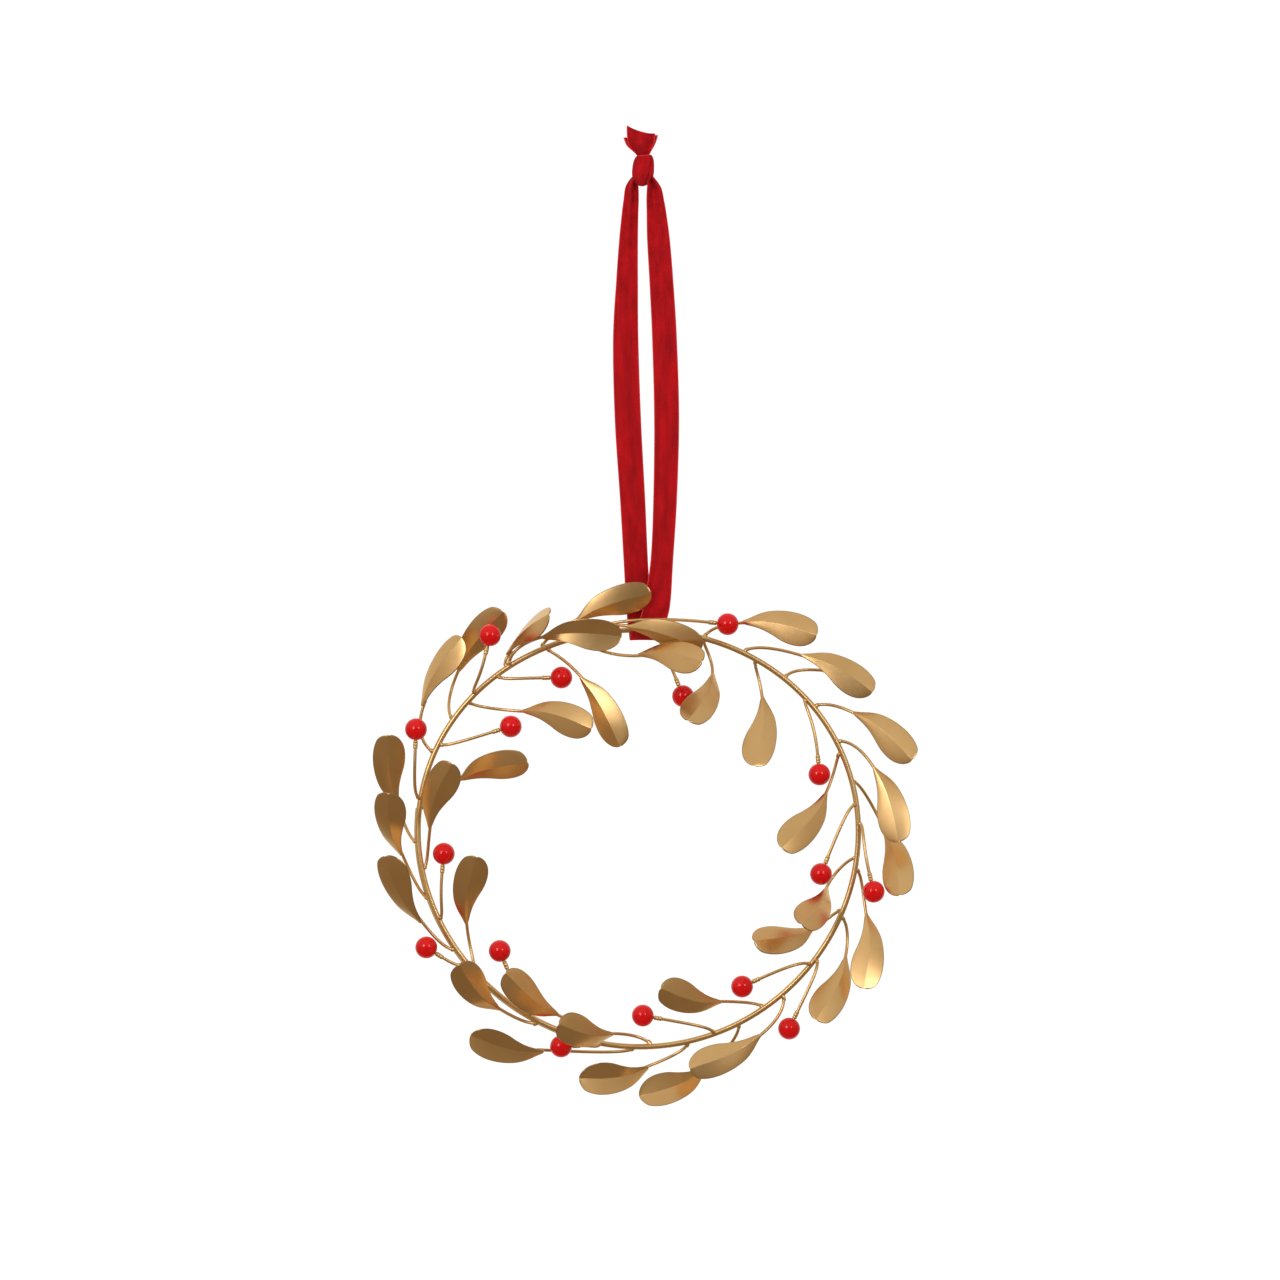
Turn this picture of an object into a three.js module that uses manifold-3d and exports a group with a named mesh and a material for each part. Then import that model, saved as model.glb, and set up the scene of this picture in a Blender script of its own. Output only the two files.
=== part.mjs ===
// Hanging wreath: a coiled brass rod with wire stems, stamped leaves, round berries and a ribbon loop.
// Millimetres, +Z up, front towards -Y. The origin is where a hook carries the ribbon, under its knot.

import * as THREE from 'three';
import { mergeVertices } from 'three/addons/utils/BufferGeometryUtils.js';
import Module from 'manifold-3d';

const wasm = await Module();
wasm.setup();

// ---- driving dimensions ----

const ROD_DIAMETER = 2.6;
const STEM_DIAMETER = 1.5;
const SLEEVE_DIAMETER = 2.1;
const SLEEVE_LENGTH = 3.6;
const BERRY_DIAMETER = 10;
const LEAF_LENGTH = 36.4;
const LEAF_THICKNESS = 0.6;
const GAP = 0.3;

// The rod is one coil of a little more than a turn, bent by hand, so it isn't quite round.
const RING_RADIUS = 97.4;
const RING_OVAL = 2.7;
const RING_OVAL_TURN = 4;
const RING_THREE_SIDED = 0.85;
const RING_THREE_SIDED_TURN = -100;
const RING_SHIFT = 0.7;
const RING_SHIFT_TURN = 79;
const COIL_START = 173;
const COIL_END = 620;
const COIL_PITCH = 2.8;
const COIL_TIGHTENS = 0.7;

const RIBBON_WIDTH = 12;
const RIBBON_THICKNESS = 1;
const HOOK_POINT = new THREE.Vector3(2.3, 0, 294.5);

// ---- leaves and berries, in order round the ring ----
// Clock angles are in degrees, anticlockwise from the right as seen from the front.
// root: where the stem leaves the ring. at, radius, forward: where the leaf starts, forward of the ring.
// heading: the way it points. pitch: how far the tip leans forward. roll: its turn about its own length.
// fold: 1 where the crease stands proud on the front, and -1 where the leaf is bent the other way.

const LEAVES = [
  // root, at, radius, forward, heading, pitch, roll, fold
  [117, 106, 101.5, 3.5, 20, 8, 15, 1],
  [127, 116, 99.6, 7, 1, 4, 10, -1],
  [128, 126, 102, 0, 42, 43, -60, 1],
  [148, 138, 110.5, -6, 53, 15, 5, 1],
  [158, 149, 114.5, 4, 59, 10, -40, 1],
  [116, 110, 76, 3, 300, 8, 20, 1],
  [142, 133, 77, 2, 346, 27, -5, 1],
  [173, 163, 85, -4, 15, 27, 20, 1],
  [182, 173.5, 110, -5, 96, 25, 0, 1],
  [189, 178, 94.6, 7, 70, 30, -10, 1],
  [197, 185, 108, 0, 100, 37, -20, 1],
  [212, 202, 106.7, 3, 117, 19, -30, 1],
  [219, 207.5, 88, 2, 80.5, 30, 0, 1],
  [242, 231.5, 101, 6, 130, 40, 0, 1],
  [257, 246, 89.3, 3, 140, 32, 15, 1],
  [273.5, 263, 91, 7, 166, 46, -5, 1],
  [269, 246.5, 107.5, -2, 166, 21, -20, -1],
  [283.5, 272.5, 105.6, 2, 187, 30, -10, -1],
  [298, 286, 111, -4, 201, 28, 5, -1],
  [312, 301.5, 106.5, 5, 205, 12, 10, 1],
  [306, 296.5, 85, 1, 165, 38, -5, 1],
  [338, 329.5, 109.6, 2, 243, 32, 0, 1],
  [339.5, 332, 90.2, 1, 190, 40, 25, 1],
  [354, 344.5, 89, 2, 231, 57, 0, 1],
  [351, 341, 109.7, 2, 267, 24, 0, 1],
  [14, 1, 112.3, -7, 282, 36, 8, 1],
  [22, 12.5, 87.6, 2, 230, 28, 0, 1],
  [25, 16, 111.5, 4, 288, 14, 5, 1],
  [36, 29.5, 112.7, 2, 321, 22, 0, 1],
  [60, 47.5, 110.7, 2, 332, 8, -15, 1],
  [71.5, 64, 107.5, 2, 350, 20, -10, 1],
  [56, 48, 84.6, 2, 262, 31, 0, 1],
  [71.5, 65, 80.7, 3, 241, 49, 5, 1],
  [106, 90, 81.8, 7.5, 354, 37, -25, 1],
  [98.5, 93, 94.8, 7, 344, 15, 25, 1],
];

// heading: the way the stem points as it enters the berry.
const BERRIES = [
  // root, at, radius, forward, heading
  [105, 67, 104, 8, 354],
  [139, 126.5, 112.8, 11, 77],
  [131.5, 116, 79.5, 5, 1],
  [84.5, 72, 66.3, 3, 292],
  [155.5, 139.5, 75.9, 5, 17],
  [170.5, 154.5, 111.5, 9, 88],
  [39, 18.5, 86.7, 6, 275],
  [203, 185.5, 88.6, 5, 85],
  [8, 348, 84.8, 6, 248],
  [3, 346.5, 109.8, 9, 283],
  [216.5, 208, 108.8, 4, 148],
  [239, 220, 82, 4, 113],
  [323, 304.5, 83.4, 6, 204],
  [291, 271.5, 82, 5, 170],
  [325, 308, 111.3, 6, 244],
  [259.5, 250, 102, 6, 182],
  [47, 38.5, 118.8, -5, 355],
];

// ---- finishes ----

const finishes = {
  brass: { color: 0xb48a52, roughness: 0.32, metalness: 1 },
  leafBrass: { color: 0xa9814a, roughness: 0.36, metalness: 1 },
  redBead: { color: 0xc8101c, roughness: 0.15, metalness: 0 },
  redVelvet: { color: 0xa5121f, roughness: 0.9, metalness: 0 },
};

function meshOf(name, geometry, finish) {
  const mesh = new THREE.Mesh(geometry, new THREE.MeshStandardMaterial(finish));
  mesh.name = name;
  return mesh;
}

// ---- joining solids ----

function toSolid(geometry) {
  geometry.deleteAttribute('normal');
  geometry.deleteAttribute('uv');
  const merged = mergeVertices(geometry, 1e-4);
  const solid = { numProp: 3, vertProperties: merged.attributes.position.array, triVerts: merged.index.array };
  return new wasm.Manifold(new wasm.Mesh(solid));
}

function joined(geometries) {
  const solid = geometries.map(toSolid).reduce((whole, piece) => whole.add(piece));
  const mesh = solid.getMesh();
  const geometry = new THREE.BufferGeometry();
  geometry.setAttribute('position', new THREE.BufferAttribute(mesh.vertProperties, 3));
  geometry.setIndex(new THREE.BufferAttribute(mesh.triVerts, 1));
  geometry.computeVertexNormals();
  return geometry;
}

// ---- places and directions in the wreath's frame, whose origin is the middle of the ring ----

const radians = THREE.MathUtils.degToRad;

function onClock(angle, radius, forward) {
  return new THREE.Vector3(radius * Math.cos(radians(angle)), -forward, radius * Math.sin(radians(angle)));
}

function pointing(heading, pitch) {
  return onClock(heading, Math.cos(radians(pitch)), Math.sin(radians(pitch)));
}

function ringRadius(angle) {
  return RING_RADIUS
    + RING_OVAL * Math.cos(radians(2 * angle + RING_OVAL_TURN))
    + RING_THREE_SIDED * Math.cos(radians(3 * angle + RING_THREE_SIDED_TURN))
    + RING_SHIFT * Math.cos(radians(angle + RING_SHIFT_TURN));
}

// The coil's turns lie one in front of the other, and each is a little tighter than the last.
function onCoil(angle) {
  const turned = (angle - COIL_START) / 360;
  const radius = ringRadius(angle) + COIL_TIGHTENS * (0.5 - turned * 360 / (COIL_END - COIL_START));
  return onClock(angle, radius, COIL_PITCH * (turned - 0.5));
}

// The front turn of the coil at a clock angle, which is where a stem is brazed on.
function onFrontTurn(angle) {
  return onCoil(angle + 360 < COIL_END ? angle + 360 : angle);
}

// ---- wire ----

class CoilCurve extends THREE.Curve {
  getPoint(t) {
    return onCoil(COIL_START + t * (COIL_END - COIL_START));
  }
}

function roundSection(diameter, sides) {
  const points = [];
  for (let i = 0; i < sides; i += 1) {
    const turn = (i / sides) * 2 * Math.PI;
    points.push(new THREE.Vector2(Math.cos(turn), Math.sin(turn)).multiplyScalar(diameter / 2));
  }
  return new THREE.Shape(points);
}

function tube(curve, diameter, sides, steps) {
  return new THREE.ExtrudeGeometry(roundSection(diameter, sides), {
    extrudePath: curve,
    steps,
    bevelEnabled: false,
  });
}

// A stem leaves the ring square to the rod, bends round and runs out along the piece that it carries.
const LEAVES_RING = 3;
const LEANS_EARLY = 0.7;
const MOST_BACKWARD = -0.4;
const MOST_FORWARD = 3.2;
const RUNS_OUT = 0.7;

function stemTo(root, end, direction) {
  const start = onFrontTurn(root);
  const reach = start.distanceTo(end);
  const side = Math.sign(Math.hypot(end.x, end.z) - Math.hypot(start.x, start.z));
  const arriving = end.clone().addScaledVector(direction, -RUNS_OUT * reach);
  const lean = THREE.MathUtils.clamp(LEANS_EARLY * (start.y - arriving.y), MOST_BACKWARD, MOST_FORWARD);
  const leaving = onClock(root, side * LEAVES_RING, lean).add(start);
  return new THREE.CubicBezierCurve3(start, leaving, arriving, end);
}

// ---- leaf ----

// Along the leaf: share of its length, left edge, crease and right edge, looking from base to tip.
const LEAF_OUTLINE = [
  [0.00, 0.9, 0.0, -0.9],
  [0.15, 4.6, 0.9, -1.2],
  [0.32, 7.2, 1.8, -2.2],
  [0.50, 8.5, 1.9, -4.5],
  [0.66, 8.7, 1.6, -5.9],
  [0.80, 8.0, 1.0, -6.1],
  [0.92, 6.2, 0.4, -4.5],
  [1.00, 2.2, 0.0, -1.0],
];
const LEAF_FOLD = 0.25;
const LEAF_BOW = 1.2;
const CREASE_SWING = 10;

// A thin plate folded along its crease. X runs to the tip and Z to the front.
function leafGeometry(fold) {
  const across = [1, 2, 3];
  const columns = across.length;
  const positions = [];
  for (const face of [LEAF_THICKNESS / 2, -LEAF_THICKNESS / 2]) {
    for (const station of LEAF_OUTLINE) {
      const [along, , crease] = station;
      for (const column of across) {
        const proud = fold * LEAF_FOLD * Math.abs(station[column] - crease);
        const height = LEAF_BOW * 4 * along * (1 - along) - proud;
        positions.push(along * LEAF_LENGTH, station[column], height + face);
      }
    }
  }
  const rows = LEAF_OUTLINE.length;
  const back = rows * columns;
  const faces = [];
  const quad = (a, b, c, d) => faces.push(a, b, c, a, c, d);
  for (let i = 0; i < rows - 1; i += 1) {
    for (let j = 0; j < columns - 1; j += 1) {
      const k = i * columns + j;
      quad(k, k + 1, k + 1 + columns, k + columns);
      quad(back + k, back + k + columns, back + k + 1 + columns, back + k + 1);
    }
    const left = i * columns;
    const right = left + columns - 1;
    quad(left, left + columns, back + left + columns, back + left);
    quad(right, back + right, back + right + columns, right + columns);
  }
  for (let j = 0; j < columns - 1; j += 1) {
    const tip = (rows - 1) * columns + j;
    quad(j, back + j, back + j + 1, j + 1);
    quad(tip, tip + 1, back + tip + 1, back + tip);
  }
  const geometry = new THREE.BufferGeometry();
  geometry.setAttribute('position', new THREE.Float32BufferAttribute(positions, 3));
  geometry.setIndex(faces);
  geometry.computeVertexNormals();
  return geometry;
}

// The leaf's own axes: along it, to its left edge, and out of its front.
function leafAxes(heading, pitch, roll) {
  const along = pointing(heading, pitch);
  const left = pointing(heading + 90, 0);
  left.applyAxisAngle(along, radians(roll));
  return { along, left, front: along.clone().cross(left) };
}

// ---- berry ----

const BORE_DIAMETER = STEM_DIAMETER + 2 * GAP;
const BORE_DEPTH = 4;
const BERRY_SIDES = 10;
const BERRY_ARC_STEPS = 6;

// A bead with a blind bore for the stem. Its axis is Y, and the bore opens at the bottom.
function berryGeometry() {
  const radius = BERRY_DIAMETER / 2;
  const bore = BORE_DIAMETER / 2;
  const mouth = -Math.sqrt(radius * radius - bore * bore);
  const profile = [new THREE.Vector2(0, mouth + BORE_DEPTH), new THREE.Vector2(bore, mouth + BORE_DEPTH)];
  const first = Math.asin(mouth / radius);
  for (let i = 0; i < BERRY_ARC_STEPS; i += 1) {
    const angle = first + (i / BERRY_ARC_STEPS) * (Math.PI / 2 - first);
    profile.push(new THREE.Vector2(radius * Math.cos(angle), radius * Math.sin(angle)));
  }
  profile.push(new THREE.Vector2(0, radius));
  return new THREE.LatheGeometry(profile, BERRY_SIDES);
}

// ---- ribbon ----

// A strap whose width lies along X: each station is its middle and its width.
function strapGeometry(stations, thickness) {
  const positions = [];
  stations.forEach(([x, y, z, width], i) => {
    const before = stations[Math.max(i - 1, 0)];
    const after = stations[Math.min(i + 1, stations.length - 1)];
    const along = new THREE.Vector2(after[1] - before[1], after[2] - before[2]).normalize();
    for (const [side, face] of [[-1, -1], [1, -1], [1, 1], [-1, 1]]) {
      const proud = (face * thickness) / 2;
      positions.push(x + (side * width) / 2, y + proud * along.y, z - proud * along.x);
    }
  });
  const faces = [];
  const quad = (a, b, c, d) => faces.push(a, b, c, a, c, d);
  for (let i = 0; i < stations.length - 1; i += 1) {
    for (let j = 0; j < 4; j += 1) {
      const k = i * 4 + j;
      const next = i * 4 + ((j + 1) % 4);
      quad(k, next, next + 4, k + 4);
    }
  }
  const last = (stations.length - 1) * 4;
  quad(0, 3, 2, 1);
  quad(last, last + 1, last + 2, last + 3);
  const geometry = new THREE.BufferGeometry();
  geometry.setAttribute('position', new THREE.Float32BufferAttribute(positions, 3));
  geometry.setIndex(faces);
  return geometry;
}

// The loop comes down behind the ring, turns under it and goes up in front.
// Each strand: height, middle, forward, width.
const BACK_STRAND = [
  [299, 0.5, -0.6, 5.0],
  [292, -1.6, -0.7, 6.5],
  [283, -3.6, -0.8, 8.2],
  [262, -5.2, -0.9, 10.8],
  [230, -5.8, -1.0, 11.8],
  [195, -5.2, -1.1, 12.0],
  [160, -3.4, -1.2, 12.0],
  [125, -1.4, -1.3, 11.8],
];
const FRONT_STRAND = [
  [125, 11.0, 2.7, 11.2],
  [160, 11.9, 2.4, 11.8],
  [195, 12.4, 2.1, 12.0],
  [230, 12.2, 1.8, 11.8],
  [262, 9.6, 1.4, 10.8],
  [283, 7.8, 1.1, 8.2],
  [292, 5.6, 0.9, 6.5],
  [299, 3.6, 0.7, 5.0],
];
const WRAP_MIDDLE = 1.8;
const WRAP_STEPS = 6;
const KNOT_SIZE = [14, 9, 17];
const KNOT_ABOVE_HOOK = 7;
const KNOT_SIDES = 12;
const KNOT_RINGS = 8;
// Each tail station: height above the middle of the knot, and width.
const TAILS = [
  [0, 8],
  [8, 8],
  [15, 13.5],
  [22, 15.5],
];
const TAIL_LEAN = 0.05;

function ribbonGeometry() {
  const rod = onFrontTurn(90);
  const wrapRadius = ROD_DIAMETER / 2 + 2 * GAP + RIBBON_THICKNESS / 2;
  const wrap = [];
  for (let i = 0; i <= WRAP_STEPS; i += 1) {
    const turn = (i / WRAP_STEPS) * Math.PI;
    const y = rod.y + wrapRadius * Math.cos(turn);
    wrap.push([WRAP_MIDDLE, y, rod.z - wrapRadius * Math.sin(turn), RIBBON_WIDTH]);
  }
  const strand = (rows) => rows.map(([height, middle, forward, width]) => [middle, -forward, height, width]);
  const loop = strapGeometry([...strand(BACK_STRAND), ...wrap, ...strand(FRONT_STRAND)], RIBBON_THICKNESS);
  const knotMiddle = HOOK_POINT.z + KNOT_ABOVE_HOOK;
  const knot = new THREE.SphereGeometry(0.5, KNOT_SIDES, KNOT_RINGS);
  knot.scale(...KNOT_SIZE);
  knot.translate(HOOK_POINT.x, 0, knotMiddle);
  const tails = TAILS.map(([above, width]) => [HOOK_POINT.x - TAIL_LEAN * above, 0, knotMiddle + above, width]);
  return joined([loop, knot, strapGeometry(tails, 2 * RIBBON_THICKNESS)]);
}

// ---- assembly ----

const wreath = new THREE.Group();
wreath.position.copy(HOOK_POINT).negate();

const twoDigits = (number) => String(number).padStart(2, '0');
const ROD_SIDES = 8;
const ROD_STEPS = 90;
const wires = [tube(new CoilCurve(), ROD_DIAMETER, ROD_SIDES, ROD_STEPS)];

const leafShapes = { '1': leafGeometry(1), '-1': leafGeometry(-1) };
const berryShape = berryGeometry();
const STEM_SIDES = 6;
const STEM_STEPS = 6;
const STEM_UNDER_LEAF = 3;
const STEM_BEHIND_LEAF = LEAF_THICKNESS / 2 + 2 * GAP + STEM_DIAMETER / 2 + LEAF_FOLD * STEM_DIAMETER;

LEAVES.forEach(([root, at, radius, forward, heading, pitch, roll, fold], index) => {
  const number = twoDigits(index + 1);
  const base = onClock(at, radius, forward);
  const { along, left, front } = leafAxes(heading, pitch, roll);
  const leaf = meshOf(`leaf_${number}`, leafShapes[fold], finishes.leafBrass);
  leaf.position.copy(base);
  leaf.quaternion.setFromRotationMatrix(new THREE.Matrix4().makeBasis(along, left, front));
  wreath.add(leaf);

  const arriving = along.clone().applyAxisAngle(front, radians(CREASE_SWING));
  const end = base.clone().addScaledVector(arriving, STEM_UNDER_LEAF).addScaledVector(front, -STEM_BEHIND_LEAF);
  wires.push(tube(stemTo(root, end, arriving), STEM_DIAMETER, STEM_SIDES, STEM_STEPS));
});

BERRIES.forEach(([root, at, radius, forward, heading], index) => {
  const number = twoDigits(index + 1);
  const middle = onClock(at, radius, forward);
  const direction = pointing(heading, 0);
  const berry = meshOf(`berry_${number}`, berryShape, finishes.redBead);
  berry.position.copy(middle);
  berry.quaternion.setFromUnitVectors(new THREE.Vector3(0, 1, 0), direction);
  wreath.add(berry);

  // The last of the stem is straight: through the crimped sleeve and into the bore.
  const sleeveTop = middle.clone().addScaledVector(direction, -BERRY_DIAMETER / 2 - GAP);
  const sleeveFoot = sleeveTop.clone().addScaledVector(direction, -SLEEVE_LENGTH);
  const inBore = middle.clone().addScaledVector(direction, BORE_DEPTH - BERRY_DIAMETER / 2 - 2 * GAP);
  const bent = stemTo(root, sleeveFoot.clone().addScaledVector(direction, GAP), direction);
  wires.push(tube(bent, STEM_DIAMETER, STEM_SIDES, STEM_STEPS));
  wires.push(tube(new THREE.LineCurve3(sleeveFoot, sleeveTop), SLEEVE_DIAMETER, STEM_SIDES, 1));
  wires.push(tube(new THREE.LineCurve3(sleeveFoot, inBore), STEM_DIAMETER, STEM_SIDES, 1));
});

// Every wire is brazed to the rod, so they are one body.
wreath.add(meshOf('wire_frame', joined(wires), finishes.brass));
wreath.add(meshOf('ribbon', ribbonGeometry(), finishes.redVelvet));

const part = new THREE.Group();
part.add(wreath);

export default part;
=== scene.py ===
import math

import bmesh
import bpy
import numpy as np
from mathutils import Matrix, Vector


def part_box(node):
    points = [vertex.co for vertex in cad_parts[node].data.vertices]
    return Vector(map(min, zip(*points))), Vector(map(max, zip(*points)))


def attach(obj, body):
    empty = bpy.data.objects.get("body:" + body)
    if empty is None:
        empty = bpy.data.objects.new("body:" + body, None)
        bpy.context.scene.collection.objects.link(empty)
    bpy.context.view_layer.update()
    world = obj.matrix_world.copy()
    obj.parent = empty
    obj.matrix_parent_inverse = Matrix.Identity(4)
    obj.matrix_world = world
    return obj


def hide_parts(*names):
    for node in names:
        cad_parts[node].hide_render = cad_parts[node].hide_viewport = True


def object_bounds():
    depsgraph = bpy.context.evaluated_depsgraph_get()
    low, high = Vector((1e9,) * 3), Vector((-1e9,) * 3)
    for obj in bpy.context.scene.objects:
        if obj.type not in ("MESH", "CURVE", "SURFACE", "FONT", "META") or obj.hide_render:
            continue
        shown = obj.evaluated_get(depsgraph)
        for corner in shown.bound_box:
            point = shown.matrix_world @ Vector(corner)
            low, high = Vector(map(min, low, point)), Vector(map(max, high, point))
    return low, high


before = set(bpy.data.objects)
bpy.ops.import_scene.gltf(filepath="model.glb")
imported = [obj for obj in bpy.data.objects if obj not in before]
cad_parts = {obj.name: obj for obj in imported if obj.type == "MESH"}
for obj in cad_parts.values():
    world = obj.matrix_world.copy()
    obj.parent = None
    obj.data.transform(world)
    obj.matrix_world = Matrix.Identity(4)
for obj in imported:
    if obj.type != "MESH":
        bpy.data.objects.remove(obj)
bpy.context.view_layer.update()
scene = bpy.context.scene


# ---- Ring rod ----
# One brass rod, bent by hand round a former into a little more than a turn, so it isn't quite round.
# Its two ends lie one behind the other from the left side down to the bottom, and are brazed together.

MM = 0.001
RING_MIDDLE = Vector((-2.3, 0.0, -294.5)) * MM  # below the hook point, which is the origin
ROD_DIAMETER = 2.6 * MM
ROD_SIDES = 20
RING_RADIUS = 97.4
RING_OVAL, RING_OVAL_TURN = 2.7, 4
RING_THREE_SIDED, RING_THREE_SIDED_TURN = 0.85, -100
RING_SHIFT, RING_SHIFT_TURN = 0.7, 79
COIL_START, COIL_END = 173, 620
COIL_PITCH = 2.8
COIL_TIGHTENS = 0.7
ROD_STEPS = 420


def on_clock(angle, radius, forward):
    """A point or direction from its clock angle, anticlockwise from the right as seen from the front."""
    turn = math.radians(angle)
    return Vector((radius * math.cos(turn), -forward, radius * math.sin(turn)))


def on_coil(angle):
    turned = (angle - COIL_START) / 360
    whole = (COIL_END - COIL_START) / 360
    oval = RING_OVAL * math.cos(math.radians(2 * angle + RING_OVAL_TURN))
    three_sided = RING_THREE_SIDED * math.cos(math.radians(3 * angle + RING_THREE_SIDED_TURN))
    shift = RING_SHIFT * math.cos(math.radians(angle + RING_SHIFT_TURN))
    radius = RING_RADIUS + oval + three_sided + shift + COIL_TIGHTENS * (0.5 - turned / whole)
    return RING_MIDDLE + on_clock(angle, radius, COIL_PITCH * (turned - 0.5)) * MM


def satin_brass(name, colour, shade, roughness, grain_depth, ripple_scale, ripple_strength):
    """Satin brass: two tones of the metal in soft clouds, a hand-worked ripple, and painted shade darkening
    the rims.
    """
    finish = bpy.data.materials.new(name)
    finish.use_nodes = True
    nodes, links = finish.node_tree.nodes, finish.node_tree.links
    shader = nodes["Principled BSDF"]
    shader.inputs["Metallic"].default_value = 1.0
    where = nodes.new("ShaderNodeTexCoord")

    clouds = nodes.new("ShaderNodeTexNoise")
    clouds.inputs["Scale"].default_value = 55.0
    clouds.inputs["Detail"].default_value = 3.0
    links.new(where.outputs["Object"], clouds.inputs["Vector"])
    tone = nodes.new("ShaderNodeMix")
    tone.data_type = "RGBA"
    tone.inputs["A"].default_value = (*shade, 1.0)
    tone.inputs["B"].default_value = (*colour, 1.0)
    spread = nodes.new("ShaderNodeMapRange")
    spread.inputs["From Min"].default_value = 0.3
    spread.inputs["From Max"].default_value = 0.6
    links.new(clouds.outputs["Fac"], spread.inputs["Value"])
    links.new(spread.outputs["Result"], tone.inputs["Factor"])

    # Painted shade: near a piece's rim the colour is mixed towards a darker tone of the metal, standing in
    # for the shade on the thin edge.
    rim = nodes.new("ShaderNodeAttribute")
    rim.attribute_name = "rim"
    painted_rim_shade = nodes.new("ShaderNodeMix")
    painted_rim_shade.data_type = "RGBA"
    painted_rim_shade.inputs["B"].default_value = (*(0.55 * channel for channel in shade), 1.0)
    links.new(tone.outputs["Result"], painted_rim_shade.inputs["A"])
    links.new(rim.outputs["Fac"], painted_rim_shade.inputs["Factor"])
    links.new(painted_rim_shade.outputs["Result"], shader.inputs["Base Color"])

    grain = nodes.new("ShaderNodeTexNoise")
    grain.inputs["Scale"].default_value = 1400.0
    links.new(where.outputs["Object"], grain.inputs["Vector"])
    rough = nodes.new("ShaderNodeMapRange")
    rough.inputs["To Min"].default_value = roughness - grain_depth
    rough.inputs["To Max"].default_value = roughness + grain_depth
    links.new(grain.outputs["Fac"], rough.inputs["Value"])
    links.new(rough.outputs["Result"], shader.inputs["Roughness"])
    ripple = nodes.new("ShaderNodeTexNoise")
    ripple.inputs["Scale"].default_value = ripple_scale
    ripple.inputs["Detail"].default_value = 1.0
    links.new(where.outputs["Object"], ripple.inputs["Vector"])
    bump = nodes.new("ShaderNodeBump")
    bump.inputs["Strength"].default_value = ripple_strength
    bump.inputs["Distance"].default_value = 0.0004
    links.new(ripple.outputs["Fac"], bump.inputs["Height"])
    links.new(bump.outputs["Normal"], shader.inputs["Normal"])
    return finish


def join_sockets(tree, *pairs):
    for source, target in pairs:
        tree.links.new(source, target)


def wire_tree(finish):
    """Sweeps a round wire along every spline that it is given. Each point's radius scales it."""
    tree = bpy.data.node_groups.new(f"sweep in {finish.name}", "GeometryNodeTree")
    face = tree.interface
    face.new_socket("Paths", in_out="INPUT", socket_type="NodeSocketGeometry")
    face.new_socket("Diameter", in_out="INPUT", socket_type="NodeSocketFloat")
    face.new_socket("Sides", in_out="INPUT", socket_type="NodeSocketInt")
    face.new_socket("Wire", in_out="OUTPUT", socket_type="NodeSocketGeometry")
    given = tree.nodes.new("NodeGroupInput")
    half = tree.nodes.new("ShaderNodeMath")
    half.operation = "MULTIPLY"
    half.inputs[1].default_value = 0.5
    section = tree.nodes.new("GeometryNodeCurvePrimitiveCircle")
    sweep = tree.nodes.new("GeometryNodeCurveToMesh")
    sweep.inputs["Fill Caps"].default_value = True
    smooth = tree.nodes.new("GeometryNodeSetShadeSmooth")
    real = tree.nodes.new("GeometryNodeRealizeInstances")
    painted = tree.nodes.new("GeometryNodeSetMaterial")
    painted.inputs["Material"].default_value = finish
    made = tree.nodes.new("NodeGroupOutput")
    join_sockets(
        tree,
        (given.outputs["Diameter"], half.inputs[0]),
        (half.outputs[0], section.inputs["Radius"]),
        (given.outputs["Sides"], section.inputs["Resolution"]),
        (given.outputs["Paths"], sweep.inputs["Curve"]),
        (section.outputs["Curve"], sweep.inputs["Profile Curve"]),
        (sweep.outputs["Mesh"], smooth.inputs["Geometry"]),
        (smooth.outputs["Geometry"], real.inputs["Geometry"]),
        (real.outputs["Geometry"], painted.inputs["Geometry"]),
        (painted.outputs["Geometry"], made.inputs["Wire"]),
    )
    if "Scale" in sweep.inputs:
        width = tree.nodes.new("GeometryNodeInputRadius")
        tree.links.new(width.outputs["Radius"], sweep.inputs["Scale"])
    return tree


def grown(name, source, tree, **sizes):
    """Runs a geometry tree on the source and keeps the result as a plain mesh piece."""
    scene.collection.objects.link(source)
    modifier = source.modifiers.new("grow", "NODES")
    modifier.node_group = tree
    for socket in tree.interface.items_tree:
        if socket.name in sizes:
            modifier[socket.identifier] = sizes[socket.name]
    seen = source.evaluated_get(bpy.context.evaluated_depsgraph_get())
    piece = bpy.data.objects.new(name, bpy.data.meshes.new_from_object(seen))
    scene.collection.objects.link(piece)
    bpy.data.objects.remove(source)
    return piece


def paths(name, routes):
    """A curve object with one spline for each route, a list of (point, share of full width)."""
    curve = bpy.data.curves.new(name, "CURVE")
    curve.dimensions = "3D"
    for route in routes:
        spline = curve.splines.new("POLY")
        spline.points.add(len(route) - 1)
        for point, (place, width) in zip(spline.points, route):
            point.co = (*place, 1.0)
            point.radius = width
    return bpy.data.objects.new(name, curve)


# A cut wire end, a little rounded: how far in from the end, in millimetres, and its width there.
CUT_END = [(0.0, 0.62), (0.12, 0.86), (0.4, 1.0)]


def with_cut_ends(points):
    first = (points[1] - points[0]).normalized()
    last = (points[-2] - points[-1]).normalized()
    start = [(points[0] + first * inset * MM, width) for inset, width in CUT_END]
    finish = [(points[-1] + last * inset * MM, width) for inset, width in reversed(CUT_END)]
    return start + [(point, 1.0) for point in points[1:-1]] + finish


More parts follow.
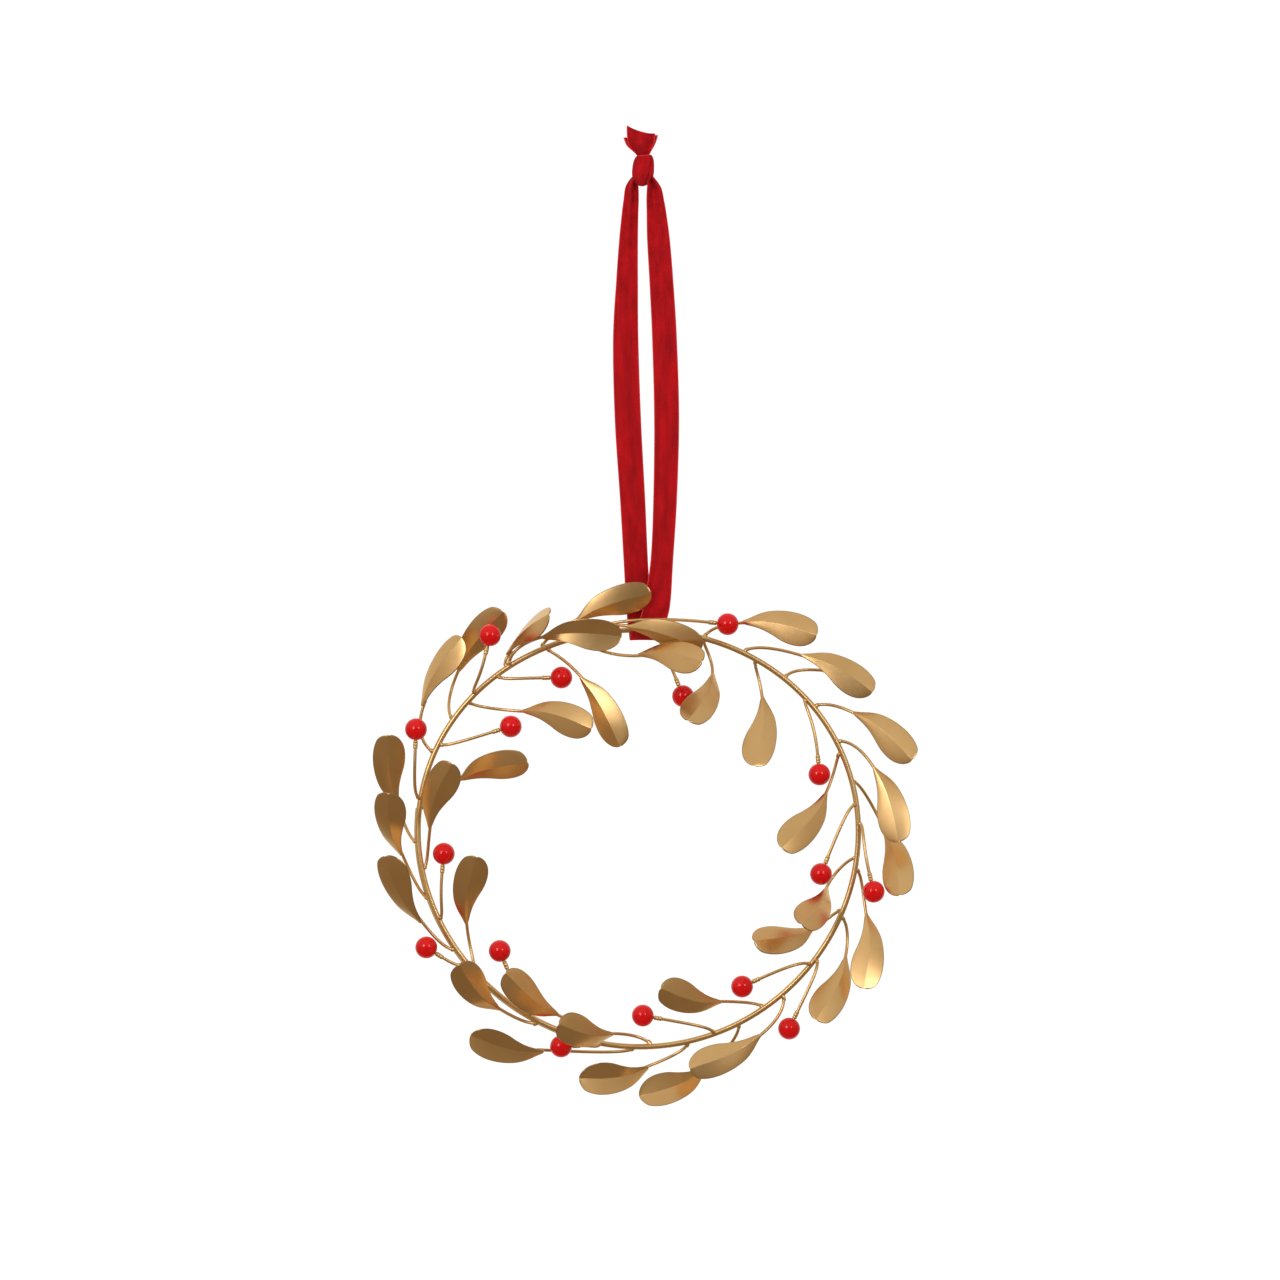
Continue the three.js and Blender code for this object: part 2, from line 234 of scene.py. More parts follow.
WIRE_BRASS = satin_brass("drawn brass wire", (0.77, 0.53, 0.26), (0.69, 0.455, 0.205),
                         roughness=0.34, grain_depth=0.02, ripple_scale=40.0, ripple_strength=0.02)
wire_sweep = wire_tree(WIRE_BRASS)
coil = [on_coil(COIL_START + (COIL_END - COIL_START) * step / ROD_STEPS) for step in range(ROD_STEPS + 1)]
coil_path = paths("coil", [with_cut_ends(coil)])
coiled_rod = grown("coiled_rod", coil_path, wire_sweep, Diameter=ROD_DIAMETER, Sides=ROD_SIDES)
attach(coiled_rod, "root")
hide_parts("wire_frame")


# ---- Leaves ----
# Thirty-five leaves stamped from thin brass sheet with one die: one edge full, the other hollow near the
# base, and a crease that stands proud on the front. Each is brazed by its base on the end of a stem.

LEAF_LENGTH = 36.4
LEAF_THICKNESS = 0.5
# Share of the length, and distance to the side in millimetres, looking from base to tip.
LEFT_EDGE = [(0.0, 0.65), (0.08, 2.5), (0.18, 5.0), (0.3, 7.1), (0.45, 8.35), (0.6, 8.75), (0.74, 8.4),
             (0.86, 7.3), (0.95, 5.6), (0.989, 3.5), (1.003, 1.4), (1.0, 0.0)]
CREASE = [(0.0, 0.0), (0.07, 0.45), (0.15, 1.0), (0.27, 1.75), (0.42, 1.95), (0.57, 1.8), (0.71, 1.4),
          (0.82, 0.85), (0.9, 0.4), (0.96, 0.15), (0.985, 0.03), (1.0, 0.0)]
RIGHT_EDGE = [(0.0, -0.55), (0.07, -0.95), (0.17, -1.2), (0.29, -1.9), (0.42, -3.35), (0.56, -5.3),
              (0.7, -6.25), (0.82, -6.0), (0.91, -4.7), (0.965, -3.0), (0.992, -1.4), (1.0, 0.0)]
FOLD = 0.25
FOLD_RADIUS = 0.02
CREASE_SHARP = 20
BOW = 1.2
EDGE_CURL = 0.2
TWIST = 9.0
ROWS_BETWEEN = 4
ACROSS = [0.0, 0.012, 0.05, 0.15, 0.27, 0.41, 0.56, 0.71, 0.84, 0.93, 0.975, 1.0]
# RIM_WIDTH: how far in from the leaf's edge the painted rim shade reaches, in millimetres.
RIM_WIDTH = 0.35
RIM_THINS = 0.55  # share of the thickness left at the filed rim

# root: clock angle where the stem leaves the ring. heading: the way the leaf points, anticlockwise from the
# right. pitch: how far its tip leans forward. roll: its turn about its own length. All in degrees.
# fold: 1 where the crease stands proud on the front, and -1 where the leaf is bent the other way.
LEAVES = [
    (117, 20, 8, 15, 1),
    (127, 1, 4, 10, -1),
    (128, 42, 43, -60, 1),
    (148, 53, 19, 10, 1),
    (158, 59, 10, -40, 1),
    (116, 300, 8, 20, 1),
    (142, 346, 27, -5, 1),
    (173, 15, 27, 20, 1),
    (182, 96, 25, 0, 1),
    (189, 70, 30, -10, 1),
    (197, 100, 37, -20, 1),
    (212, 117, 19, -30, 1),
    (219, 80.5, 30, 0, 1),
    (242, 130, 40, 0, 1),
    (257, 140, 32, 15, 1),
    (273.5, 166, 46, -5, 1),
    (269, 166, 21, -20, -1),
    (283.5, 187, 30, -10, -1),
    (298, 201, 28, 5, -1),
    (312, 205, 12, 10, 1),
    (306, 165, 38, -5, 1),
    (338, 243, 32, 0, 1),
    (339.5, 190, 40, 25, 1),
    (354, 231, 57, 0, 1),
    (351, 267, 24, 0, 1),
    (14, 282, 36, 8, 1),
    (22, 230, 28, 0, 1),
    (25, 288, 14, 5, 1),
    (36, 321, 22, 0, 1),
    (60, 332, 8, -15, 1),
    (71.5, 350, 20, -10, 1),
    (56, 262, 31, 0, 1),
    (71.5, 241, 49, 5, 1),
    (106, 354, 37, -25, 1),
    (98.5, 344, 15, 25, 1),
]


def through(stations, between):
    """Points on a smooth curve through the stations, with some more between each pair."""
    places = np.array(stations, float)
    ends = np.vstack([2 * places[0] - places[1], places, 2 * places[-1] - places[-2]])
    found = []
    for i in range(1, len(ends) - 2):
        a, b, c, d = ends[i - 1], ends[i], ends[i + 1], ends[i + 2]
        for step in range(between):
            t = step / between
            found.append(0.5 * (2 * b + (c - a) * t + (2 * a - 5 * b + 4 * c - d) * t**2
                                + (3 * b - a - 3 * c + d) * t**3))
    return np.array(found + [places[-1]])


def sheet_faces(rows, columns):
    """Faces of a thin closed sheet: its front, its back and the wall round its edge."""
    grid = np.arange(rows * columns).reshape(rows, columns)
    corners = (grid[:-1, :-1], grid[1:, :-1], grid[1:, 1:], grid[:-1, 1:])
    fronts = np.stack([corner.ravel() for corner in corners], axis=1)
    back = rows * columns
    faces = [tuple(face) for face in fronts.tolist()]
    faces += [tuple(face[::-1]) for face in (fronts + back).tolist()]
    edge = [int(i) for i in (*grid[:, 0], *grid[-1, 1:], *grid[-2::-1, -1], *grid[0, -2:0:-1])]
    for here, there in zip(edge, [*edge[1:], edge[0]]):
        faces.append((there, here, here + back, there + back))
    return faces


def leaf_sheet(bent):
    """The stamped leaf at its own base: X to the tip, Y to its left edge, Z out of its front, in metres."""
    left, crease, right = (through(line, ROWS_BETWEEN) for line in (LEFT_EDGE, CREASE, RIGHT_EDGE))
    sides = [(left, share) for share in reversed(ACROSS)] + [(right, share) for share in ACROSS[1:]]
    rows, columns = len(crease), len(sides)
    front = np.zeros((rows, columns, 3))
    rim = np.zeros((rows, columns))
    for j, (edge, share) in enumerate(sides):
        flat = crease + (edge - crease) * share
        away = np.abs(edge[:, 1] - crease[:, 1]) * share
        width = np.maximum(np.abs(edge[:, 1] - crease[:, 1]), 1.0)
        fold = bent * FOLD * (np.sqrt(away**2 + FOLD_RADIUS**2) - FOLD_RADIUS)
        along = flat[:, 0]
        height = BOW * 4 * along * (1 - along) - fold - bent * EDGE_CURL * (away / width) ** 3
        turn = np.radians(TWIST * (along - 0.4))
        sideways = flat[:, 1] - crease[:, 1]
        front[:, j, 0] = along * LEAF_LENGTH
        front[:, j, 1] = crease[:, 1] + sideways * np.cos(turn)
        front[:, j, 2] = height + sideways * np.sin(turn)
        # The rim mask: 1 at the edge, fading to 0 within RIM_WIDTH; the brass finish paints shade there.
        rim[:, j] = np.clip(1 - (width - away) / RIM_WIDTH, 0, 1)
    thick = np.full((rows, columns), LEAF_THICKNESS / 2)
    thick[:, [0, -1]] *= RIM_THINS
    thick[-1] *= RIM_THINS
    shift = np.zeros_like(front)
    shift[..., 2] = thick
    places = np.concatenate([(front + shift).reshape(-1, 3), (front - shift).reshape(-1, 3)]) * MM
    uv = np.stack([front[..., 0] / LEAF_LENGTH, front[..., 1] / LEAF_LENGTH + 0.5], axis=-1).reshape(-1, 2)
    return places, sheet_faces(rows, columns), np.tile(rim.ravel(), 2), np.tile(uv, (2, 1))


def mesh_piece(name, places, faces, finish, uv=None, rim=None, sharp=35):
    """A closed mesh piece with its doubled points merged, its faces outward and its hard edges kept."""
    mesh = bpy.data.meshes.new(name)
    mesh.from_pydata([tuple(place) for place in places], [], faces)
    if rim is not None:
        mesh.attributes.new("rim", "FLOAT", "POINT").data.foreach_set("value", np.asarray(rim, np.float32))
    if uv is not None:
        corners = np.zeros(len(mesh.loops), np.int32)
        mesh.loops.foreach_get("vertex_index", corners)
        mesh.uv_layers.new(name="UVMap").data.foreach_set("uv", np.asarray(uv, np.float32)[corners].ravel())
    shape = bmesh.new()
    shape.from_mesh(mesh)
    bmesh.ops.remove_doubles(shape, verts=shape.verts, dist=1e-7)
    bmesh.ops.recalc_face_normals(shape, faces=shape.faces)
    shape.to_mesh(mesh)
    shape.free()
    mesh.materials.append(finish)
    mesh.shade_smooth()
    mesh.set_sharp_from_angle(angle=math.radians(sharp))
    piece = bpy.data.objects.new(name, mesh)
    scene.collection.objects.link(piece)
    return piece


def middle_of(node):
    low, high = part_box(node)
    return (low + high) / 2


def leaf_turn(heading, pitch, roll):
    """The leaf's axes as a turn: along it, to its left edge, and out of its front."""
    along = on_clock(heading, math.cos(math.radians(pitch)), math.sin(math.radians(pitch)))
    left = Matrix.Rotation(math.radians(roll), 3, along) @ on_clock(heading + 90, 1, 0)
    return Matrix((along, left, along.cross(left))).transposed()


LEAF_BRASS = satin_brass("stamped leaf brass", (0.80, 0.53, 0.25), (0.75, 0.48, 0.215),
                         roughness=0.3, grain_depth=0.05, ripple_scale=110.0, ripple_strength=0.12)
leaf_shapes = {bent: leaf_sheet(bent) for bent in (1, -1)}
leaf_bases = []
for number, (root, heading, pitch, roll, bent) in enumerate(LEAVES, start=1):
    leaf_places, leaf_faces, leaf_rim, leaf_uv = leaf_shapes[bent]
    turn = leaf_turn(heading, pitch, roll)
    turned = leaf_places @ np.array(turn).T
    base = middle_of(f"leaf_{number:02d}") - Vector((turned.min(axis=0) + turned.max(axis=0)) / 2)
    plate = mesh_piece(f"leaf_plate_{number:02d}", turned + np.array(base), leaf_faces, LEAF_BRASS,
                       leaf_uv, leaf_rim, CREASE_SHARP)
    leaf_bases.append((root, base, turn))
    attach(plate, "root")
    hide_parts(f"leaf_{number:02d}")


# ---- Berries ----
# Round glossy red beads, lacquered, each with a blind bore pushed on its stem's end and glued.

BERRY_RADIUS = 5.0
BORE_RADIUS = 1.0
BORE_LIP = 0.25
BORE_BOTTOM = 1.0
BERRY_SIDES = 56
BERRY_RINGS = 36

# root: clock angle where the stem leaves the ring. heading: the way the stem points as it enters the berry.
BERRIES = [
    (105, 354),
    (139, 77),
    (131.5, 1),
    (84.5, 292),
    (155.5, 17),
    (170.5, 88),
    (39, 275),
    (203, 85),
    (8, 248),
    (3, 283),
    (216.5, 148),
    (239, 113),
    (323, 204),
    (291, 170),
    (325, 244),
    (259.5, 182),
    (47, 355),
]


def ring_faces(rings, sides):
    """Faces between rings of points that lie one above the other."""
    faces = []
    for i in range(rings - 1):
        for side in range(sides):
            a, b = i * sides + side, i * sides + (side + 1) % sides
            faces.append((a, b, b + sides, a + sides))
    return faces


def turned_shape(profile, sides):
    """Turns a profile of (radius, height) round Z. The first and last points are on the axis."""
    places = []
    for radius, height in profile:
        for side in range(sides):
            turn = 2 * math.pi * side / sides
            places.append((radius * math.cos(turn), radius * math.sin(turn), height))
    return np.array(places), ring_faces(len(profile), sides)


def berry_profile():
    mouth = math.asin((BORE_RADIUS + BORE_LIP) / BERRY_RADIUS)
    arc = [mouth + (math.pi - mouth) * i / BERRY_RINGS for i in range(BERRY_RINGS + 1)]
    outside = [(BERRY_RADIUS * math.sin(turn), -BERRY_RADIUS * math.cos(turn)) for turn in arc[:-1]]
    lip = -BERRY_RADIUS * math.cos(mouth)
    bevel = BORE_LIP * 0.3
    bottom = -BORE_BOTTOM
    bore = [(0.0, bottom), (BORE_RADIUS, bottom), (BORE_RADIUS, lip + BORE_LIP)]
    return bore + [(BORE_RADIUS + bevel, lip + bevel)] + outside + [(0.0, BERRY_RADIUS)]


def lacquer():
    """Glossy red lacquer, a little deeper in places, under a clear coat with a faint orange-peel ripple."""
    finish = bpy.data.materials.new("red lacquer")
    finish.use_nodes = True
    nodes, links = finish.node_tree.nodes, finish.node_tree.links
    shader = nodes["Principled BSDF"]
    shader.inputs["Roughness"].default_value = 0.4
    shader.inputs["Coat Weight"].default_value = 0.75
    shader.inputs["Coat Roughness"].default_value = 0.03
    shader.inputs["Specular IOR Level"].default_value = 0.0
    where = nodes.new("ShaderNodeTexCoord")
    clouds = nodes.new("ShaderNodeTexNoise")
    clouds.inputs["Scale"].default_value = 160.0
    tone = nodes.new("ShaderNodeMix")
    tone.data_type = "RGBA"
    tone.inputs["A"].default_value = (0.51, 0.0008, 0.003, 1.0)
    tone.inputs["B"].default_value = (0.61, 0.0015, 0.005, 1.0)
    ripple = nodes.new("ShaderNodeTexNoise")
    ripple.inputs["Scale"].default_value = 420.0
    bump = nodes.new("ShaderNodeBump")
    bump.inputs["Strength"].default_value = 0.02
    bump.inputs["Distance"].default_value = 0.0002
    join_sockets(
        finish.node_tree,
        (where.outputs["Object"], clouds.inputs["Vector"]),
        (where.outputs["Object"], ripple.inputs["Vector"]),
        (clouds.outputs["Fac"], tone.inputs["Factor"]),
        (tone.outputs["Result"], shader.inputs["Base Color"]),
        (ripple.outputs["Fac"], bump.inputs["Height"]),
        (bump.outputs["Normal"], shader.inputs["Normal"]),
    )
    return finish


LACQUER = lacquer()
berry_places, berry_faces = turned_shape(berry_profile(), BERRY_SIDES)
berry_stations = []
for number, (root, heading) in enumerate(BERRIES, start=1):
    direction = on_clock(heading, 1, 0)
    middle = middle_of(f"berry_{number:02d}")
    turn = np.array(Vector((0, 0, 1)).rotation_difference(direction).to_matrix())
    places = berry_places @ turn.T * MM + np.array(middle)
    berry = mesh_piece(f"berry_bead_{number:02d}", places, berry_faces, LACQUER, sharp=60)
    berry_stations.append((root, middle, direction))
    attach(berry, "root")
    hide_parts(f"berry_{number:02d}")


# ---- Stems ----
# Thinner brass wire, cut and bent by hand. Each leaves the ring square to the rod, bends round at once and
# runs out along its leaf or into its berry.

STEM_DIAMETER = 1.5 * MM
STEM_STEPS = 22
STEM_SIDES = 14
IN_BEAD = (1, 2.5, 4, 5.5, 7)  # steps along the straight end that goes into a bead, in millimetres
LEAVES_RING = 3.0 * MM
LEANS_EARLY = 0.7
MOST_BACKWARD, MOST_FORWARD = -0.4 * MM, 3.2 * MM
RUNS_OUT = 0.7
STEM_UNDER_LEAF = 3.0 * MM
STEM_BEHIND_LEAF = 1.35 * MM
CREASE_SWING = 10
SLEEVE_LENGTH = 3.6 * MM
SLEEVE_GAP = 0.15 * MM


def front_turn(angle):
    return angle + 360 if angle + 360 < COIL_END else angle


def stem_route(root, end, direction):
    """A smooth bend from the rod to the end, arriving along the direction."""
    start = on_coil(front_turn(root))
    reach = (end - start).length
    from_middle = [math.hypot(p.x - RING_MIDDLE.x, p.z - RING_MIDDLE.z) for p in (start, end)]
    side = math.copysign(LEAVES_RING, from_middle[1] - from_middle[0])
    arriving = end - direction * RUNS_OUT * reach
    lean = min(max(LEANS_EARLY * (start.y - arriving.y), MOST_BACKWARD), MOST_FORWARD)
    leaving = start + on_clock(root, side, lean)
    route = []
    for step in range(STEM_STEPS + 1):
        t = step / STEM_STEPS
        route.append(start * (1 - t) ** 3 + leaving * 3 * t * (1 - t) ** 2
                     + arriving * 3 * t**2 * (1 - t) + end * t**3)
    return route


leaf_routes = []
for root, base, turn in leaf_bases:
    along, left, front = turn.transposed()
    arriving = Matrix.Rotation(math.radians(CREASE_SWING), 3, front) @ along
    end = base + arriving * STEM_UNDER_LEAF - front * STEM_BEHIND_LEAF
    leaf_routes.append(with_cut_ends(stem_route(root, end, arriving)))
leaf_stems = grown("leaf_stems", paths("leaf routes", leaf_routes), wire_sweep,
                   Diameter=STEM_DIAMETER, Sides=STEM_SIDES)

berry_routes = []
for root, middle, direction in berry_stations:
    foot = middle - direction * (BERRY_RADIUS * MM + SLEEVE_GAP + SLEEVE_LENGTH)
    bent = stem_route(root, foot, direction)
    straight = [foot + direction * step * MM for step in IN_BEAD]
    berry_routes.append(with_cut_ends(bent + straight))
berry_stems = grown("berry_stems", paths("berry routes", berry_routes), wire_sweep,
                    Diameter=STEM_DIAMETER, Sides=STEM_SIDES)

for stems in (leaf_stems, berry_stems):
    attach(stems, "root")


# ---- Crimped sleeves ----
# A short brass tube slid on each berry's stem and nipped in two places, so that the bead can't slide back.

SLEEVE_DIAMETER = 2.15 * MM
SLEEVE_SIDES = 20
# Share of the sleeve's length, and share of its full width.
CRIMPS = [(0.0, 0.8), (0.04, 0.95), (0.1, 1.0), (0.24, 1.0), (0.3, 0.88), (0.36, 1.0),
          (0.62, 1.0), (0.68, 0.88), (0.74, 1.0), (0.9, 1.0), (0.96, 0.95), (1.0, 0.8)]

sleeve_routes = []
for root, middle, direction in berry_stations:
    top = middle - direction * (BERRY_RADIUS * MM + SLEEVE_GAP)
    sleeve_routes.append([(top - direction * SLEEVE_LENGTH * share, width) for share, width in CRIMPS])
sleeves = grown("crimped_sleeves", paths("sleeve routes", sleeve_routes), wire_sweep,
                Diameter=SLEEVE_DIAMETER, Sides=SLEEVE_SIDES)
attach(sleeves, "root")


# ---- Brazed joints ----
# A small fillet of brass filler where each stem meets the rod, drawn out along the joint, no two quite alike.

BRAZE_SEED = 11
FILLET_RADIUS = 1.8 * MM
FILLET_AWAY = 1.1 * MM
FILLET_RIPPLE = 0.2 * MM
FILLET_POINTS_AT = 5  # the point along the stem that its fillet is aimed at


def braze_tree(finish):
    """Sets one lump of filler on each point, pointing as the stem leaves, each a little different."""
    tree = bpy.data.node_groups.new("braze fillets", "GeometryNodeTree")
    face = tree.interface
    face.new_socket("Joints", in_out="INPUT", socket_type="NodeSocketGeometry")
    face.new_socket("Size", in_out="INPUT", socket_type="NodeSocketFloat")
    face.new_socket("Seed", in_out="INPUT", socket_type="NodeSocketInt")
    face.new_socket("Fillets", in_out="OUTPUT", socket_type="NodeSocketGeometry")
    given = tree.nodes.new("NodeGroupInput")
    lump = tree.nodes.new("GeometryNodeMeshIcoSphere")
    lump.inputs["Subdivisions"].default_value = 3
    away = tree.nodes.new("GeometryNodeInputNamedAttribute")
    away.data_type = "FLOAT_VECTOR"
    away.inputs["Name"].default_value = "away"
    aim = tree.nodes.new("FunctionNodeAlignRotationToVector")
    aim.axis = "Z"
    vary = tree.nodes.new("FunctionNodeRandomValue")
    vary.data_type = "FLOAT_VECTOR"
    vary.inputs["Min"].default_value = (0.5, 0.5, 0.8)
    vary.inputs["Max"].default_value = (0.6, 0.6, 1.3)
    put = tree.nodes.new("GeometryNodeInstanceOnPoints")
    real = tree.nodes.new("GeometryNodeRealizeInstances")
    ripple = tree.nodes.new("ShaderNodeTexNoise")
    ripple.inputs["Scale"].default_value = 900.0
    outward = tree.nodes.new("GeometryNodeInputNormal")
    push = tree.nodes.new("ShaderNodeVectorMath")
    push.operation = "SCALE"
    amount = tree.nodes.new("ShaderNodeMath")
    amount.operation = "MULTIPLY"
    amount.inputs[1].default_value = FILLET_RIPPLE
    moved = tree.nodes.new("GeometryNodeSetPosition")
    smooth = tree.nodes.new("GeometryNodeSetShadeSmooth")
    painted = tree.nodes.new("GeometryNodeSetMaterial")
    painted.inputs["Material"].default_value = finish
    made = tree.nodes.new("NodeGroupOutput")
    join_sockets(
        tree,
        (given.outputs["Joints"], put.inputs["Points"]),
        (given.outputs["Size"], lump.inputs["Radius"]),
        (given.outputs["Seed"], vary.inputs["Seed"]),
        (lump.outputs["Mesh"], put.inputs["Instance"]),
        (away.outputs["Attribute"], aim.inputs["Vector"]),
        (aim.outputs["Rotation"], put.inputs["Rotation"]),
        (vary.outputs["Value"], put.inputs["Scale"]),
        (put.outputs["Instances"], real.inputs["Geometry"]),
        (real.outputs["Geometry"], moved.inputs["Geometry"]),
        (outward.outputs["Normal"], push.inputs[0]),
        (ripple.outputs["Fac"], amount.inputs[0]),
        (amount.outputs[0], push.inputs["Scale"]),
        (push.outputs["Vector"], moved.inputs["Offset"]),
        (moved.outputs["Geometry"], smooth.inputs["Geometry"]),
        (smooth.outputs["Geometry"], painted.inputs["Geometry"]),
        (painted.outputs["Geometry"], made.inputs["Fillets"]),
    )
    return tree


joints = []
for route in leaf_routes + berry_routes:
    start, next_point = route[0][0], route[FILLET_POINTS_AT][0]
    away = (next_point - start).normalized()
    joints.append((start + away * FILLET_AWAY, away))
joint_mesh = bpy.data.meshes.new("joints")
joint_mesh.from_pydata([tuple(place) for place, away in joints], [], [])
aims = joint_mesh.attributes.new("away", "FLOAT_VECTOR", "POINT")
aims.data.foreach_set("vector", np.array([away for place, away in joints], np.float32).ravel())
fillets = grown("braze_fillets", bpy.data.objects.new("joints", joint_mesh), braze_tree(WIRE_BRASS),
                Size=FILLET_RADIUS, Seed=BRAZE_SEED)
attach(fillets, "root")


# ---- Ribbon ----
# One length of 12 mm velvet ribbon with a woven edge, looped under the ring rod with both runs brought up to
# a knot. The front run crosses over the back run just above the ring, and both are gathered into the knot.

RIBBON_WIDTH = 12.0
RIBBON_THICKNESS = 0.8
# Each run, from the ring up: height below the hook point, left edge, right edge and how far forward, in mm.
BACK_RUN = [
    (-202.5, -6.9, 5.4, -1.3),
    (-196.0, -7.3, 4.8, -1.3),
    (-187.7, -7.9, 3.4, -1.3),
    (-169.5, -8.9, 2.2, -1.3),
    (-142.3, -10.5, 1.0, -1.0),
    (-105.9, -12.9, -0.9, -1.4),
    (-69.5, -13.7, -2.1, -1.0),
    (-42.0, -12.2, -2.3, -0.8),
    (-24.1, -10.9, -2.3, -0.9),
    (-12.0, -9.7, -2.1, -0.8),
    (-5.7, -8.9, -1.9, -0.7),
    (-1.0, -8.3, -2.0, -0.6),
    (1.6, -7.3, -2.1, -0.5),
    (3.6, -5.9, -1.9, -0.4),
    (5.6, -4.2, -0.8, -0.3),
    (8.0, -3.0, 0.2, -0.2),
]
FRONT_RUN = [
    (-202.5, -5.2, 7.6, 3.0),
    (-196.0, -1.4, 11.0, 3.1),
    (-187.7, 0.6, 12.6, 2.9),
    (-169.5, 3.4, 13.7, 2.6),
    (-142.3, 4.6, 15.4, 2.2),
    (-105.9, 5.0, 16.4, 2.4),
    (-69.5, 4.1, 15.4, 1.8),
    (-42.0, 2.8, 13.7, 1.3),
    (-24.1, 1.8, 12.2, 1.2),
    (-12.0, 1.6, 10.6, 1.0),
    (-5.7, 1.5, 9.5, 0.9),
    (-1.0, 1.7, 8.5, 0.8),
    (1.6, 1.9, 7.1, 0.7),
    (3.6, 1.8, 5.6, 0.6),
    (5.6, 0.8, 4.1, 0.5),
    (8.0, -0.2, 3.0, 0.4),
]
WRAP_MIDDLE = -0.5
WRAP_DRIFT = 0.8
WRAP_CLEARANCE = 0.35
WRAP_STEPS = 24
STEPS_BETWEEN = 14
ACROSS_RIBBON = 40
WRAP_SLACK = 2.2
PLEATS = 1.5
PLEAT_TURN = 0.7
PLEAT_DEPTH = 1.5
# The pleats start where the ribbon is this many mm narrower than flat, and are full this many mm on.
PLEATS_START, PLEATS_FILL = 1.4, 5.0
# The edges roll back a little, by an amount that sways along the ribbon.
EDGE_ROLL, EDGE_SWAY, SWAY_STEPS = 0.35, 0.25, 19
EDGE_BAND = 0.05
LOOP_PATCHES, TAIL_PATCHES = 30.0, 2.0  # length of each in the velvet's pattern


def velvet():
    """Deep red velvet: a short pile that catches light at grazing angles, with a paler woven edge."""
    finish = bpy.data.materials.new("red velvet")
    finish.use_nodes = True
    nodes, links = finish.node_tree.nodes, finish.node_tree.links
    shader = nodes["Principled BSDF"]
    shader.inputs["Roughness"].default_value = 0.85
    shader.inputs["Specular IOR Level"].default_value = 0.15
    shader.inputs["Sheen Weight"].default_value = 0.22
    shader.inputs["Sheen Roughness"].default_value = 0.4
    shader.inputs["Sheen Tint"].default_value = (1.0, 0.12, 0.14, 1.0)
    where = nodes.new("ShaderNodeUVMap")
    where.uv_map = "UVMap"
    stretch = nodes.new("ShaderNodeMapping")
    stretch.inputs["Scale"].default_value = (1.6, 1.0, 1.0)
    patches = nodes.new("ShaderNodeTexNoise")
    patches.inputs["Scale"].default_value = 1.6
    patches.inputs["Detail"].default_value = 5.0
    patches.inputs["Roughness"].default_value = 0.62
    tone = nodes.new("ShaderNodeMix")
    tone.data_type = "RGBA"
    tone.inputs["A"].default_value = (0.26, 0.0015, 0.004, 1.0)
    tone.inputs["B"].default_value = (0.42, 0.003, 0.007, 1.0)
    contrast = nodes.new("ShaderNodeMapRange")
    contrast.inputs["From Min"].default_value = 0.35
    contrast.inputs["From Max"].default_value = 0.65
    rim = nodes.new("ShaderNodeAttribute")
    rim.attribute_name = "rim"
    woven = nodes.new("ShaderNodeMix")
    woven.data_type = "RGBA"
    woven.inputs["B"].default_value = (0.72, 0.06, 0.07, 1.0)
    place = nodes.new("ShaderNodeTexCoord")
    pile = nodes.new("ShaderNodeTexNoise")
    pile.inputs["Scale"].default_value = 3800.0
    bump = nodes.new("ShaderNodeBump")
    bump.inputs["Strength"].default_value = 0.5
    bump.inputs["Distance"].default_value = 0.0003
    join_sockets(
        finish.node_tree,
        (where.outputs["UV"], stretch.inputs["Vector"]),
        (stretch.outputs["Vector"], patches.inputs["Vector"]),
        (patches.outputs["Fac"], contrast.inputs["Value"]),
        (contrast.outputs["Result"], tone.inputs["Factor"]),
        (tone.outputs["Result"], woven.inputs["A"]),
        (rim.outputs["Fac"], woven.inputs["Factor"]),
        (woven.outputs["Result"], shader.inputs["Base Color"]),
        (place.outputs["Object"], pile.inputs["Vector"]),
        (pile.outputs["Fac"], bump.inputs["Height"]),
        (bump.outputs["Normal"], shader.inputs["Normal"]),
    )
    return finish


def ribbon_loop():
    """Both runs and the turn under the rod: the middle line, the width and the way the cloth faces."""
    rod = on_coil(front_turn(90)) / MM
    wrap = ROD_DIAMETER / MM / 2 + WRAP_CLEARANCE + RIBBON_THICKNESS / 2
    stations = [tuple(row) for row in through(BACK_RUN, STEPS_BETWEEN)[::-1]]
    for step in range(1, WRAP_STEPS):
        turn = math.pi * step / WRAP_STEPS
        height = rod.z - (wrap + WRAP_SLACK) * math.sin(turn)
        drift = WRAP_DRIFT * step / WRAP_STEPS
        left = WRAP_MIDDLE - RIBBON_WIDTH / 2 + drift
        right = WRAP_MIDDLE + RIBBON_WIDTH / 2 + drift
        stations.append((height, left, right, -rod.y - wrap * math.cos(turn)))
    stations += [tuple(row) for row in through(FRONT_RUN, STEPS_BETWEEN)]
    stations = np.array(stations)
    middle = np.stack([(stations[:, 1] + stations[:, 2]) / 2, -stations[:, 3], stations[:, 0]], axis=1)
    width = stations[:, 2] - stations[:, 1]
    along = np.gradient(middle, axis=0)
    along[:, 0] = 0
    along /= np.linalg.norm(along, axis=1)[:, None]
    out = np.stack([np.zeros(len(along)), along[:, 2], -along[:, 1]], axis=1)
    return middle, width, out


